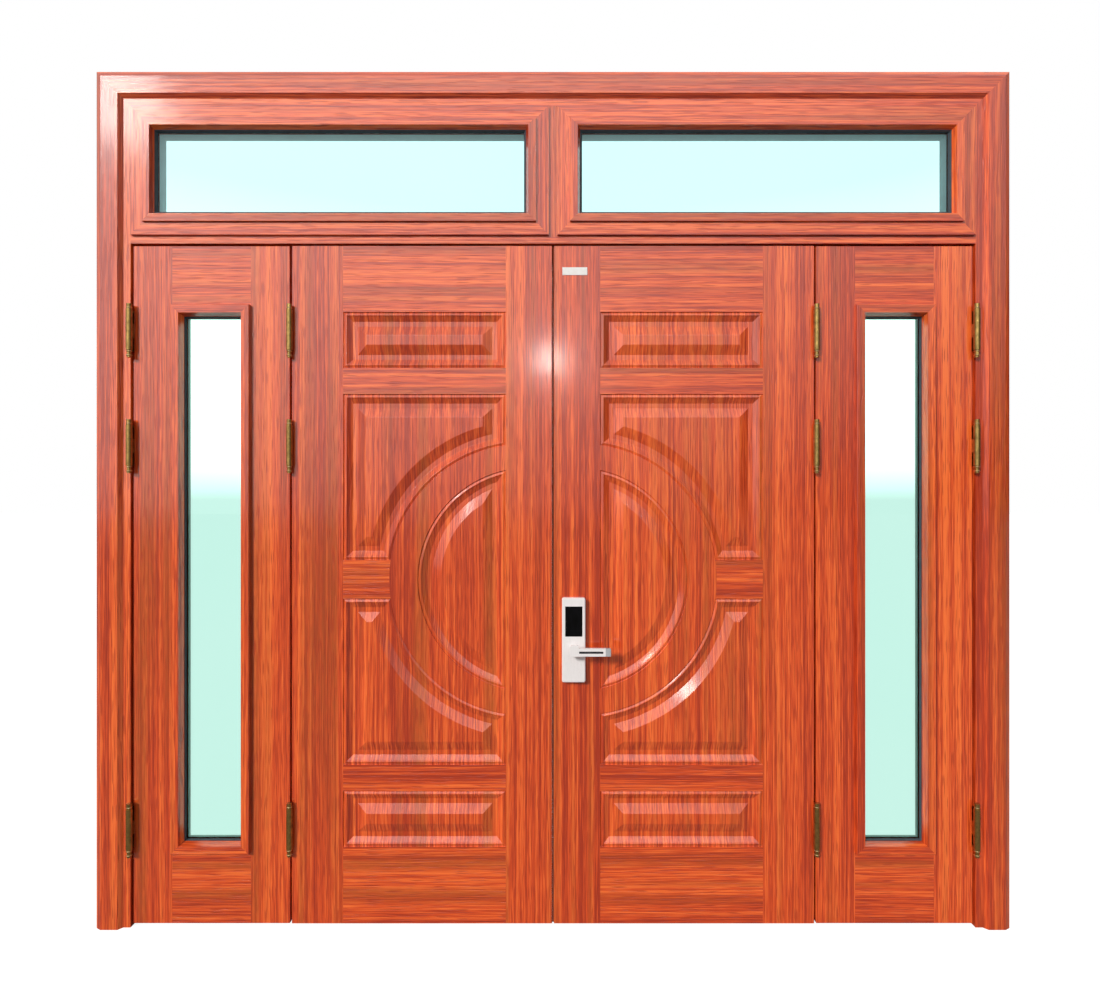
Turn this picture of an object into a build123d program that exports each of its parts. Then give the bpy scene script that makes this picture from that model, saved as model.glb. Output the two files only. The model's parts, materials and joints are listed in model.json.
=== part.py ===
from build123d import *
import os
from math import atan, degrees, radians, tan

# Everything is drawn about the door's centre line: X along the wall, Y into it, Z up from
# the floor, with Y = 0 on the front of the closed leaves. save() shifts each piece so that
# the origin lies on the foot of the left jamb.

# Frame section, measured inwards from its outer edge and back from the leaves' front
door_width = 2900.0
door_height = 2720.0
casing_front = -17.0
casing_chamfer_width = 18.0
casing_chamfer_depth = 9.6
casing_band_end = 71.7
casing_bevel = 12.0
flat_front = casing_front + casing_bevel
rebate_reach = 106.0
stop_front = 58.0
stop_reach = 131.0
frame_back = 110.0
half_width = door_width / 2
jamb_face = half_width - rebate_reach
stop_face = half_width - stop_reach
origin_inset = 54.0
origin_shift = half_width - origin_inset

# Rubber seal against the backs of the leaves, each about a third of the stop's lip
stop_lip = stop_reach - rebate_reach
seal_inset = 0.32 * stop_lip
seal_width = 0.32 * stop_lip
seal_groove = 4.0
seal_proud = 3.0

# Anchor holes through the jambs
anchor_radius = 5.0
anchor_depth = 30.0
anchor_pitch = 760.0
anchor_first = 120.0
anchor_count = 4

# Leaves
leaf_thick = 50.0
leaf_foot = 10.0
transom_zone = 550.0
leaf_top = door_height - transom_zone
leaf_gap = 6.0
leaf_edge_chamfer = 1.2
seam_x = 836.0
meeting_bevel_deg = 3.0
side_outer = jamb_face - leaf_gap
side_inner = seam_x + leaf_gap / 2
main_outer = seam_x - leaf_gap / 2
main_inner = leaf_gap / 2

# Transom bar, mullion and the two fixed units above the leaves
bar_foot = leaf_top + leaf_gap
bar_nose = 20.0
seal_rail = (bar_foot - seal_inset - seal_width, bar_foot - seal_inset)
mullion_half = 9.0
unit_fit = 0.5
unit_margin = 4.5
unit_face = 40.0
unit_front = flat_front - 9.0
unit_seat = 10.0
unit_bead_front = unit_front - 8.0
unit_bead_face = 24.0
unit_bead_taper = 13.0
unit_glass_front = 3.0
unit_lip = 80.0
glass_thick = 20.0
glass_edge_gap = 3.0
bead_fit = 0.3

# Glazing of the side leaves, about the middle of each leaf
pane_half_width = 125.5
pane_foot = 235.5
glazed_rail = 189.5
pane_top = leaf_top - glazed_rail
bead_overlap = 10.0
bead_proud = 14.0
bead_face = 26.0
bead_taper = 10.0
bead_round = 3.0
side_glass_front = 15.0

# Pressed panels of the main leaves
panel_near = 150.6
panel_far = 669.3
bottom_rail = 243.0
small_panel = 179.0
narrow_rail = 83.0
middle_rail = 123.0
top_rail = 210.0
small_rows = small_panel + narrow_rail
low_rows = leaf_foot + bottom_rail + small_rows
high_rows = leaf_top - top_rail - small_rows
large_panel = (high_rows - low_rows - middle_rail) / 2
low_small_panel = (leaf_foot + bottom_rail, leaf_foot + bottom_rail + small_panel)
low_large_panel = (low_rows, low_rows + large_panel)
top_large_panel = (high_rows - large_panel, high_rows)
top_small_panel = (leaf_top - top_rail - small_panel, leaf_top - top_rail)
circle_z = (low_rows + high_rows) / 2
ring_outer_x = 90.0
ring_outer_radius = 0.815 * large_panel
ring_inner_x = 75.0
ring_inner_radius = 0.674 * large_panel
recess_depth = 12.0
panel_flat = 15.0
field_bevel = 29.0
# Moulding round a panel: distance in from its outline, and depth below the leaf's face
moulding = ((0.0, 0.0), (13.0, 2.4), (29.0, recess_depth))

# Barrel hinges
hinge_low = 315.0
hinge_high_drop = 274.0
hinge_pitch = 366.0
hinge_high = leaf_top - hinge_high_drop
hinge_heights = (hinge_low, hinge_high - hinge_pitch, hinge_high)
barrel_radius = 9.5
pin_radius = 4.0
pin_clearance = 0.06
knuckle_gap = 0.6
knuckle_count = 3
barrel_top = 67.0
barrel_foot = -61.0
finial_top = 85.0
finial_foot = -85.0
cap_radius = 8.0
foot_radius = 6.5
plate_thick = 2.5
plate_back = 38.0
plate_inset = 0.5
plate_fit = 0.2
plate_clearance = 2.0
jamb_axis_y = flat_front - barrel_radius - 1.5
jamb_axis_x = jamb_face - leaf_gap / 2
seam_axis_y = -barrel_radius - 2.5

# Lock on the right main leaf
lock_left = 28.4
lock_width = 74.0
lock_foot = 784.0
lock_top = 1050.0
lock_thick = 22.0
lock_back_thick = 28.0
lock_corner = 6.0
lock_edge = 2.5
screen_width = 54.0
screen_height = 95.0
screen_top_gap = 26.0
screen_thick = 2.0
screen_proud = 0.4
lever_x = 65.5
lever_z = 890.0
neck_radius = 11.0
neck_clearance = 0.08
neck_bearing = 8.0
lever_boss_width = 28.0
lever_boss_height = 33.0
lever_tip = 180.0
lever_height = 24.0
lever_thick = 13.0
lever_stand = 33.0
lever_drop = 4.0
lever_cap = 16.5
inlay_start = 81.0
inlay_end = 156.0
inlay_height = 6.6
inlay_depth = 1.2
spindle_side = 8.0
spindle_fit = 0.1
spindle_bore = 12.0

# Plates let into the meeting edges, meeting seal and blank badge
edge_plate_foot = 800.0
edge_plate_top = 1040.0
edge_plate_y = (12.5, 37.5)
edge_plate_thick = 3.0
meeting_seal_y = (5.0, 10.0)
meeting_seal_proud = 0.8
meeting_seal_deep = 4.0
badge_left = 30.0
badge_width = 79.0
badge_drop = 93.0
badge_foot = leaf_top - badge_drop
badge_height = 24.6
badge_thick = 1.5

os.makedirs("parts", exist_ok=True)


def save(solid, name):
    """Shift a finished piece to the frame on the left jamb's foot and write its file."""
    placed = Pos(origin_shift, 0, 0) * solid
    placed.label = name
    export_step(placed, f"parts/{name}.step")


def save_pair(left_solid, name):
    """Write a left-hand piece and its mirror image about the door's centre line."""
    save(left_solid, f"{name}_left")
    save(mirror(left_solid, about=Plane.YZ), f"{name}_right")


def at_depth(y):
    """Upright plane at depth y, facing the viewer, with its own x and y along X and Z."""
    return Plane.XZ.offset(-y)


def block(x, y, z, mode=Mode.ADD):
    """Box over three (low, high) spans, in the piece being built."""
    with Locations(((x[0] + x[1]) / 2, (y[0] + y[1]) / 2, (z[0] + z[1]) / 2)):
        Box(x[1] - x[0], y[1] - y[0], z[1] - z[0], mode=mode)


def grown(span, amount):
    """A span made longer by the amount at both ends."""
    return (span[0] - amount, span[1] + amount)


def rectangle_face(x, z, inset=0.0):
    """Flat upright rectangle over two spans, drawn smaller by the inset."""
    with BuildSketch() as sketch:
        with Locations(((x[0] + x[1]) / 2, (z[0] + z[1]) / 2)):
            Rectangle(x[1] - x[0] - 2 * inset, z[1] - z[0] - 2 * inset)
    return sketch.sketch


def tapered_window(x, z, inset, y, reach, narrowing):
    """Cutter that starts at depth y and narrows evenly over its reach into the wall."""
    with BuildPart() as cutter:
        with BuildSketch(at_depth(y)):
            add(rectangle_face(x, z, inset))
        extrude(amount=-reach, taper=degrees(atan(narrowing / reach)))
    return cutter.part


# Frame members


def frame_section():
    """Section of a jamb or head, x inwards from the outer edge and y into the wall."""
    groove = rebate_reach + seal_inset
    with BuildSketch() as section:
        with BuildLine():
            Polyline(
                (0, casing_front + casing_chamfer_depth),
                (casing_chamfer_width, casing_front),
                (casing_band_end, casing_front),
                (casing_band_end + casing_bevel, flat_front),
                (rebate_reach, flat_front),
                (rebate_reach, stop_front),
                (groove, stop_front),
                (groove, stop_front + seal_groove),
                (groove + seal_width, stop_front + seal_groove),
                (groove + seal_width, stop_front),
                (stop_reach, stop_front),
                (stop_reach, frame_back),
                (0, frame_back),
                close=True,
            )
        make_face()
    return section.sketch


mitre = 1.3 * stop_reach
with BuildPart() as above_mitre:
    with BuildSketch(Plane.XZ):
        with BuildLine():
            Polyline(
                (-half_width, door_height),
                (-half_width + mitre, door_height),
                (-half_width + mitre, door_height - mitre),
                close=True,
            )
        make_face()
    extrude(amount=frame_back * 2, both=True)

with BuildPart() as below_mitre:
    with BuildSketch(Plane.XZ):
        with BuildLine():
            Polyline(
                (-half_width, door_height),
                (-half_width, door_height - mitre),
                (-half_width + mitre, door_height - mitre),
                close=True,
            )
        make_face()
    extrude(amount=frame_back * 2, both=True)


def hinge_zone(z):
    """Span of height that a hinge's plates take, about the hinge's centre."""
    return (z + barrel_foot, z + barrel_top)


with BuildPart() as jamb:
    with BuildSketch(Plane((-half_width, 0, 0))):
        add(frame_section())
    extrude(amount=door_height)
    add(above_mitre.part, mode=Mode.SUBTRACT)
    for z in hinge_heights:
        block(
            (-jamb_face - plate_thick, -jamb_face + 1),
            (flat_front - 1, plate_back + plate_fit),
            grown(hinge_zone(z), plate_fit),
            mode=Mode.SUBTRACT,
        )
    block(
        (-jamb_face + seal_inset, -stop_face),
        (stop_front, stop_front + seal_groove),
        seal_rail,
        mode=Mode.SUBTRACT,
    )
    for i in range(anchor_count):
        with Locations((-half_width, anchor_depth, anchor_first + i * anchor_pitch)):
            Cylinder(anchor_radius, 3 * stop_reach, rotation=(0, 90, 0), mode=Mode.SUBTRACT)
save_pair(jamb.part, "jamb")

head_plane = Plane(origin=(-half_width, 0, door_height), x_dir=(0, 0, -1), z_dir=(1, 0, 0))
with BuildPart() as head:
    with BuildSketch(head_plane):
        add(frame_section())
    extrude(amount=door_width)
    add(below_mitre.part, mode=Mode.SUBTRACT)
    add(mirror(below_mitre.part, about=Plane.YZ), mode=Mode.SUBTRACT)
save(head.part, "head")

bar_top = bar_foot + bar_nose
with BuildPart() as transom_bar:
    block((-jamb_face, jamb_face), (flat_front, stop_front), (bar_foot, bar_top))
save(transom_bar.part, "transom_bar")

with BuildPart() as transom_stop:
    block(
        (-stop_face, stop_face),
        (stop_front, frame_back),
        (bar_foot - stop_lip, bar_top + stop_lip),
    )
    block(
        (-stop_face, stop_face),
        (stop_front, stop_front + seal_groove),
        seal_rail,
        mode=Mode.SUBTRACT,
    )
save(transom_stop.part, "transom_stop")

head_under = door_height - rebate_reach
with BuildPart() as transom_mullion:
    block((-mullion_half, mullion_half), (flat_front, stop_front), (bar_top, head_under))
    block(
        (-mullion_half - stop_lip, mullion_half + stop_lip),
        (stop_front, frame_back),
        (bar_top + stop_lip, door_height - stop_reach),
    )
save(transom_mullion.part, "transom_mullion")

seal_y = (stop_front - seal_proud, stop_front + seal_groove)
seal_x = jamb_face - seal_inset
with BuildPart() as frame_seal:
    for side in (-1, 1):
        near, far = side * (seal_x - seal_width), side * seal_x
        block((min(near, far), max(near, far)), seal_y, (0, seal_rail[1]))
    block((-seal_x, seal_x), seal_y, seal_rail)
save(frame_seal.part, "frame_seal")

# Fixed transom units

unit_x = (-jamb_face + unit_fit, -mullion_half - unit_fit)
unit_z = (bar_top + unit_fit, head_under - unit_fit)
seat_inset = unit_margin + unit_face
pocket_inset = seat_inset + unit_seat


def slab(x, z, inset, y):
    """Upright slab between two depths, its outline drawn smaller by the inset."""
    with BuildPart() as piece:
        with BuildSketch(at_depth(y[1])):
            add(rectangle_face(x, z, inset))
        extrude(amount=y[1] - y[0])
    return piece.part


with BuildPart() as transom_frame:
    add(slab(unit_x, unit_z, 0, (flat_front, stop_front)))
    add(slab(unit_x, unit_z, unit_margin, (unit_front, flat_front)))
    add(slab(unit_x, unit_z, seat_inset, (unit_front, flat_front)), mode=Mode.SUBTRACT)
    glass_back = unit_glass_front + glass_thick
    add(slab(unit_x, unit_z, pocket_inset, (flat_front, glass_back)), mode=Mode.SUBTRACT)
    add(slab(unit_x, unit_z, unit_lip, (glass_back, stop_front)), mode=Mode.SUBTRACT)
save_pair(transom_frame.part, "transom_frame")

with BuildPart() as transom_bead:
    add(slab(unit_x, unit_z, seat_inset + bead_fit, (unit_bead_front, flat_front)))
    add(slab(unit_x, unit_z, pocket_inset + bead_fit, (flat_front, unit_glass_front)))
    opening = seat_inset + unit_bead_face
    depth = unit_glass_front - unit_bead_front
    cutter = tapered_window(unit_x, unit_z, opening, unit_bead_front, depth, unit_bead_taper)
    add(cutter, mode=Mode.SUBTRACT)
save_pair(transom_bead.part, "transom_bead")

transom_glass = slab(unit_x, unit_z, pocket_inset + glass_edge_gap, (unit_glass_front, glass_back))
save_pair(transom_glass, "transom_glass")

# Side leaves and their glazing

leaf_y = (0.0, leaf_thick)
leaf_z = (leaf_foot, leaf_top)
pane_centre = -(side_outer + side_inner) / 2
pane_x = (pane_centre - pane_half_width, pane_centre + pane_half_width)
pane_z = (pane_foot, pane_top)


def cut_plate_pocket(face_x, towards, z):
    """Let one hinge plate into an edge; towards is the way the edge faces along X."""
    x = sorted((face_x - towards * plate_thick, face_x + towards))
    block(x, (-1, plate_back + plate_fit), grown(hinge_zone(z), plate_fit), Mode.SUBTRACT)


with BuildPart() as side_leaf:
    block((-side_outer, -side_inner), leaf_y, leaf_z)
    chamfer(side_leaf.edges(), length=leaf_edge_chamfer)
    add(slab(pane_x, pane_z, bead_overlap, leaf_y), mode=Mode.SUBTRACT)
    for z in hinge_heights:
        cut_plate_pocket(-side_outer, -1, z)
        cut_plate_pocket(-side_inner, 1, z)
save_pair(side_leaf.part, "side_leaf")

with BuildPart() as side_bead:
    add(slab(pane_x, pane_z, 0, (-bead_proud, 0)))
    face_edges = side_bead.faces().sort_by(Axis.Y)[0].edges()
    fillet(face_edges, bead_round)
    add(slab(pane_x, pane_z, bead_overlap + bead_fit, (0, side_glass_front)))
    depth = side_glass_front + bead_proud
    cutter = tapered_window(pane_x, pane_z, bead_face, -bead_proud, depth, bead_taper)
    add(cutter, mode=Mode.SUBTRACT)
save_pair(side_bead.part, "side_bead_front")
leaf_mid_plane = Plane.XZ.offset(-leaf_thick / 2)
save_pair(mirror(side_bead.part, about=leaf_mid_plane), "side_bead_back")

side_glass = slab(
    pane_x,
    pane_z,
    bead_overlap + glass_edge_gap,
    (side_glass_front, leaf_thick - side_glass_front),
)
save_pair(side_glass, "side_glass")

# Pressed panels, all drawn on the left leaf

column = (-panel_far, -panel_near)


def ring_cut_panel(z):
    """Tall panel whose inner end is cut by the outer ring."""
    with BuildSketch() as sketch:
        add(rectangle_face(column, z))
        with Locations((-ring_outer_x, circle_z)):
            Circle(ring_outer_radius, mode=Mode.SUBTRACT)
    return sketch.sketch


def half_disc_panel():
    """Part of the inner disc that lies on the panel column."""
    with BuildSketch() as sketch:
        with Locations((-ring_inner_x, circle_z)):
            Circle(ring_inner_radius)
        add(
            rectangle_face(
                column, (circle_z - ring_inner_radius, circle_z + ring_inner_radius)
            ),
            mode=Mode.INTERSECT,
        )
    return sketch.sketch


def shrunk(outline, amount):
    """The outline moved inwards by the amount, with its corners kept sharp."""
    if amount == 0:
        return outline
    with BuildSketch() as sketch:
        add(outline)
        offset(amount=-amount, kind=Kind.INTERSECTION, mode=Mode.REPLACE)
    return sketch.sketch


def pressed_panel(outline):
    """What is pressed out of a leaf's face at one panel, with its raised field left."""
    with BuildPart() as cut:
        for (start, top), (end, low) in zip(moulding, moulding[1:]):
            with BuildSketch(at_depth(top)):
                add(shrunk(outline, start))
            extrude(amount=top - low, taper=degrees(atan((end - start) / (low - top))))
        with BuildSketch(at_depth(recess_depth)):
            add(shrunk(outline, moulding[-1][0] + panel_flat))
        slope = degrees(atan(field_bevel / recess_depth))
        extrude(amount=recess_depth, taper=slope, mode=Mode.SUBTRACT)
    return cut.part


panel_cuts = [
    pressed_panel(outline)
    for outline in (
        rectangle_face(column, top_small_panel),
        ring_cut_panel(top_large_panel),
        half_disc_panel(),
        ring_cut_panel(low_large_panel),
        rectangle_face(column, low_small_panel),
    )
]

meeting_slope = tan(radians(meeting_bevel_deg))


def meeting_edge(y):
    """X of the left leaf's bevelled meeting edge at depth y."""
    return -main_inner - y * meeting_slope


def edge_strip(y, thick, proud, z, fit=0.0):
    """Strip let into the left leaf's meeting edge, its outer face along the bevel."""
    low, high = y[0] - fit, y[1] + fit
    with BuildPart() as strip:
        with BuildSketch(Plane.XY.offset(z[0] - fit)):
            with BuildLine():
                Polyline(
                    (meeting_edge(low) + proud, low),
                    (meeting_edge(high) + proud, high),
                    (meeting_edge(high) - thick, high),
                    (meeting_edge(low) - thick, low),
                    close=True,
                )
            make_face()
        extrude(amount=z[1] - z[0] + 2 * fit)
    return strip.part


edge_plate_z = (edge_plate_foot, edge_plate_top)

with BuildPart() as main_leaf:
    with BuildSketch(Plane.XY.offset(leaf_foot)):
        with BuildLine():
            Polyline(
                (-main_outer, 0),
                (meeting_edge(0), 0),
                (meeting_edge(leaf_thick), leaf_thick),
                (-main_outer, leaf_thick),
                close=True,
            )
        make_face()
    extrude(amount=leaf_top - leaf_foot)
    chamfer(main_leaf.edges(), length=leaf_edge_chamfer)
    for cut in panel_cuts:
        add(cut, mode=Mode.SUBTRACT)
        add(mirror(cut, about=leaf_mid_plane), mode=Mode.SUBTRACT)
    for z in hinge_heights:
        cut_plate_pocket(-main_outer, -1, z)
    add(
        edge_strip(edge_plate_y, edge_plate_thick, 1, edge_plate_z, plate_fit),
        mode=Mode.SUBTRACT,
    )
save(main_leaf.part, "main_leaf_left")

with BuildPart() as main_leaf_right:
    mirror(main_leaf.part, about=Plane.YZ)
    groove = edge_strip(meeting_seal_y, meeting_seal_deep, 1, leaf_z)
    add(mirror(groove, about=Plane.YZ), mode=Mode.SUBTRACT)
    with Locations((lever_x, leaf_thick / 2, lever_z)):
        Cylinder(spindle_bore, 2 * leaf_thick, rotation=(90, 0, 0), mode=Mode.SUBTRACT)
save(main_leaf_right.part, "main_leaf_right")

strike = edge_strip(edge_plate_y, edge_plate_thick, 0, edge_plate_z)
save(strike, "strike_plate")
save(mirror(strike, about=Plane.YZ), "forend_plate")
meeting_seal = edge_strip(meeting_seal_y, meeting_seal_deep, meeting_seal_proud, leaf_z)
save(mirror(meeting_seal, about=Plane.YZ), "meeting_seal")

# Hinges, drawn on the left: the carrier is on the outer side and the leaf on the inner

knuckle_length = (barrel_top - barrel_foot - (knuckle_count - 1) * knuckle_gap) / knuckle_count


def hinge_plate(axis, face_x, towards, front, rings, z):
    """Plate with its knuckles; towards is the way the plate's open face looks along X."""
    plate_x = sorted((face_x, face_x - towards * plate_thick))
    low, high = hinge_zone(z)
    with BuildPart() as half:
        block(plate_x, (front, plate_back), (low, high))
        for ring in rings:
            foot = low + ring * (knuckle_length + knuckle_gap)
            block(plate_x, (axis[1], front), (foot, foot + knuckle_length))
            with Locations((axis[0], axis[1], foot + knuckle_length / 2)):
                Cylinder(barrel_radius, knuckle_length)
    return half.part


with BuildPart() as hinge_pin:
    with BuildSketch(Plane.XZ):
        with BuildLine():
            Polyline(
                (0, finial_foot),
                (foot_radius, finial_foot),
                (foot_radius, barrel_foot),
                (pin_radius, barrel_foot),
                (pin_radius, barrel_top),
                (cap_radius, barrel_top),
                (cap_radius, finial_top),
                (0, finial_top),
                close=True,
            )
        make_face()
    revolve(axis=Axis.Z)


def hinge_line(name, axis, carrier_face, leaf_face, carrier_front):
    """Write the fixed halves with their pins, and the leaf halves, of one line, both hands."""
    with BuildPart() as carriers:
        for z in hinge_heights:
            add(hinge_plate(axis, carrier_face, 1, carrier_front, (0, 2), z))
        with Locations(*((axis[0], axis[1], z) for z in hinge_heights)):
            add(hinge_pin.part)
    with BuildPart() as leaves:
        for z in hinge_heights:
            add(hinge_plate(axis, leaf_face, -1, plate_inset, (1,), z))
        with Locations(*((axis[0], axis[1], z) for z in hinge_heights)):
            Cylinder(pin_radius + pin_clearance, 2 * barrel_top, mode=Mode.SUBTRACT)
    save_pair(carriers.part, f"{name}_hinge_fixed")
    save_pair(leaves.part, f"{name}_hinge_leaf")


hinge_line(
    "jamb",
    (-jamb_axis_x, jamb_axis_y),
    -jamb_face,
    -side_outer,
    jamb_axis_y + barrel_radius + plate_clearance,
)
hinge_line("seam", (-seam_x, seam_axis_y), -side_inner, -main_outer, plate_inset)

# Lock and lever on the right main leaf

lock_x = (lock_left, lock_left + lock_width)
lock_z = (lock_foot, lock_top)
screen_x = (lever_x - screen_width / 2, lever_x + screen_width / 2)
screen_z = (lock_top - screen_top_gap - screen_height, lock_top - screen_top_gap)


def lock_body(y):
    """Plain rounded plate of the lock between two depths, with the lever's bearing."""
    with BuildPart() as body:
        add(slab(lock_x, lock_z, 0, y))
        fillet(body.edges().filter_by(Axis.Y), lock_corner)
        with Locations((lever_x, sum(y) / 2, lever_z)):
            Cylinder(
                neck_radius + neck_clearance,
                2 * (y[1] - y[0]),
                rotation=(90, 0, 0),
                mode=Mode.SUBTRACT,
            )
    return body.part


with BuildPart() as lock_plate_outer:
    add(lock_body((-lock_thick, 0)))
    front = lock_plate_outer.faces().sort_by(Axis.Y)[0]
    chamfer(front.outer_wire().edges(), lock_edge)
    add(
        slab(screen_x, screen_z, 0, (-lock_thick - 1, screen_thick - screen_proud - lock_thick)),
        mode=Mode.SUBTRACT,
    )
save(lock_plate_outer.part, "lock_plate_outer")

screen_y = (-lock_thick - screen_proud, screen_thick - screen_proud - lock_thick)
save(slab(screen_x, screen_z, 0, screen_y), "lock_screen")

back_face = leaf_thick + lock_back_thick
with BuildPart() as lock_plate_inner:
    add(lock_body((leaf_thick, back_face)))
    rear = lock_plate_inner.faces().sort_by(Axis.Y)[-1]
    chamfer(rear.outer_wire().edges(), lock_edge)
save(lock_plate_inner.part, "lock_plate_inner")

arm_z = (lever_z - lever_drop - lever_height / 2, lever_z - lever_drop + lever_height / 2)
boss_x = (lever_x - lever_boss_width / 2, lever_x + lever_boss_width / 2)
boss_z = (lever_z - lever_boss_height / 2, lever_z + lever_boss_height / 2)


def lever_arm(y, neck_end, arm_end):
    """Neck, boss and arm between two depths; neck_end is inside the plate's bearing."""
    outer = y[0] if abs(y[0] - neck_end) > abs(y[1] - neck_end) else y[1]
    with BuildPart() as arm:
        block((lever_x, arm_end), y, arm_z)
        block(boss_x, y, boss_z)
        fillet(arm.edges().filter_by(Axis.Y).group_by(Axis.X)[0], 5)
        with Locations((lever_x, (outer + neck_end) / 2, lever_z)):
            Cylinder(neck_radius, abs(outer - neck_end), rotation=(90, 0, 0))
    return arm.part


front_arm = (-lock_thick - lever_stand, -lock_thick - lever_stand + lever_thick)
socket_end = front_arm[1] + 2
with BuildPart() as lever_outer:
    add(lever_arm(front_arm, -lock_thick + neck_bearing, lever_tip - lever_cap))
    block(
        grown((lever_x - spindle_side / 2, lever_x + spindle_side / 2), spindle_fit / 2),
        (socket_end, 0),
        grown((lever_z - spindle_side / 2, lever_z + spindle_side / 2), spindle_fit / 2),
        mode=Mode.SUBTRACT,
    )
    inlay_z = (
        sum(arm_z) / 2 - inlay_height / 2,
        sum(arm_z) / 2 + inlay_height / 2,
    )
    inlay_x = (inlay_start, inlay_end)
    inlay_y = (front_arm[0], front_arm[0] + inlay_depth)
    block(inlay_x, grown(inlay_y, 0), inlay_z, mode=Mode.SUBTRACT)
save(lever_outer.part, "lever_outer")

save(slab(inlay_x, inlay_z, 0, inlay_y), "lever_inlay")

with BuildPart() as lever_end_cap:
    block((lever_tip - lever_cap, lever_tip), front_arm, arm_z)
    fillet(lever_end_cap.faces().sort_by(Axis.X)[-1].edges(), 2)
save(lever_end_cap.part, "lever_end_cap")

back_arm = (back_face + lever_stand - lever_thick, back_face + lever_stand)
with BuildPart() as lever_inner:
    add(lever_arm(back_arm, back_face - neck_bearing, lever_tip))
    block(
        (lever_x - spindle_side / 2, lever_x + spindle_side / 2),
        (socket_end, back_face),
        (lever_z - spindle_side / 2, lever_z + spindle_side / 2),
    )
save(lever_inner.part, "lever_inner")

badge = slab(
    (badge_left, badge_left + badge_width),
    (badge_foot, badge_foot + badge_height),
    0,
    (-badge_thick, 0),
)
save(badge, "badge_plate")
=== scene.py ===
import json
import math

import bmesh
import bpy
from bpy.props import FloatProperty, FloatVectorProperty, IntProperty, PointerProperty
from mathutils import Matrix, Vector
from mathutils.geometry import tessellate_polygon

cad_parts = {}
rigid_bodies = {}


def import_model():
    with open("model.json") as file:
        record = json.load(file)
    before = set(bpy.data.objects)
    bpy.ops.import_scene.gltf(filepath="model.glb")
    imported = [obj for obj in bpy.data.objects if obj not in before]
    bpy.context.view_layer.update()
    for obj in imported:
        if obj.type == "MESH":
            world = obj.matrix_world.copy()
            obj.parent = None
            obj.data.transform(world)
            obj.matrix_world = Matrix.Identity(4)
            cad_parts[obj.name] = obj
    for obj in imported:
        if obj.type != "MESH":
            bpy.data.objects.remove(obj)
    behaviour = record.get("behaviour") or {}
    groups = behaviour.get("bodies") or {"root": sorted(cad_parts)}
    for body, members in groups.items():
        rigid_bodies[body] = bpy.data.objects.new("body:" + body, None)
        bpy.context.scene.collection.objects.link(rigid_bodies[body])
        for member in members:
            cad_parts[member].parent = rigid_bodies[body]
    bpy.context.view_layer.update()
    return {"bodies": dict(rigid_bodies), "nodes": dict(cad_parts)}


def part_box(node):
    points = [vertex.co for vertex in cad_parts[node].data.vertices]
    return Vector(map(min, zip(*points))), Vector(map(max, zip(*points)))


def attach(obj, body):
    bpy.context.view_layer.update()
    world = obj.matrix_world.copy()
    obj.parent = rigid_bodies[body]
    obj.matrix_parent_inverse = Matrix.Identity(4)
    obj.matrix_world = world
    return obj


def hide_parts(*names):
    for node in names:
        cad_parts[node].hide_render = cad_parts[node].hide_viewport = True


bl_info = {
    "name": "Four-leaf pressed steel door",
    "version": (1, 0, 0),
    "blender": (4, 5, 0),
    "location": "3D Viewport > Sidebar > Steel Door",
    "description": "Dresses the door with its wood-grain finish, glass, ironwork and screws",
    "category": "Object",
}

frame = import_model()
NODES = frame["nodes"]
SIDES = ("left", "right")

# Centre line of the door, in metres
MIDDLE = (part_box("head")[0].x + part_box("head")[1].x) / 2


# Settings


def tone_setting(name, description, default):
    """Colour setting."""
    return FloatVectorProperty(
        name=name, description=description, subtype="COLOR", default=default, min=0.0, max=1.0
    )


def share_setting(name, description, default):
    """Setting between 0 and 1."""
    return FloatProperty(name=name, description=description, default=default, min=0.0, max=1.0)


def length_setting(name, description, default):
    """Setting in metres."""
    return FloatProperty(name=name, description=description, default=default, unit="LENGTH")


class FinishSettings(bpy.types.PropertyGroup):
    """Tones and grain of the printed wood finish, and the metals."""

    dark_tone: tone_setting("Dark Tone", "Pores and late wood", (0.42, 0.036, 0.009))
    middle_tone: tone_setting("Middle Tone", "Ground of the wood finish", (0.74, 0.084, 0.015))
    light_tone: tone_setting("Light Tone", "Bright streaks of the wood finish", (1.0, 0.185, 0.034))
    olive_tone: tone_setting("Olive Tone", "Browner patches of the finish", (0.42, 0.082, 0.013))
    wood_roughness: share_setting("Wood Roughness", "Roughness of the lacquer", 0.21)
    coat_roughness: share_setting("Coat Roughness", "Roughness of the clear coat over it", 0.11)
    brass_tone: tone_setting("Brass Tone", "Dulled brass of the hinges", (0.66, 0.43, 0.14))
    lock_tone: tone_setting("Lock Tone", "Silver lacquer of lock and lever", (0.93, 0.90, 0.90))


class PressingSettings(bpy.types.PropertyGroup):
    """Shape of the pressed main leaves."""

    arc_steps: IntProperty(
        name="Arc Steps",
        description="Facets along each curved moulding",
        default=72,
        min=12,
        max=200,
    )


class IronworkSettings(bpy.types.PropertyGroup):
    """Screws, hinge beads and brush seal."""

    screw_radius: length_setting("Screw Radius", "Radius of a countersunk head", 0.0034)
    bead_ring: length_setting("Bead Ring Radius", "Ring that a hinge bead runs round", 0.0068)
    bead_radius: length_setting("Bead Radius", "Radius of a hinge bead's own section", 0.0022)
    bristle_spacing: length_setting("Bristle Spacing", "Distance between bristles", 0.0009)
    bristle_radius: length_setting("Bristle Radius", "Radius of one tuft of the brush", 0.00045)


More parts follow.
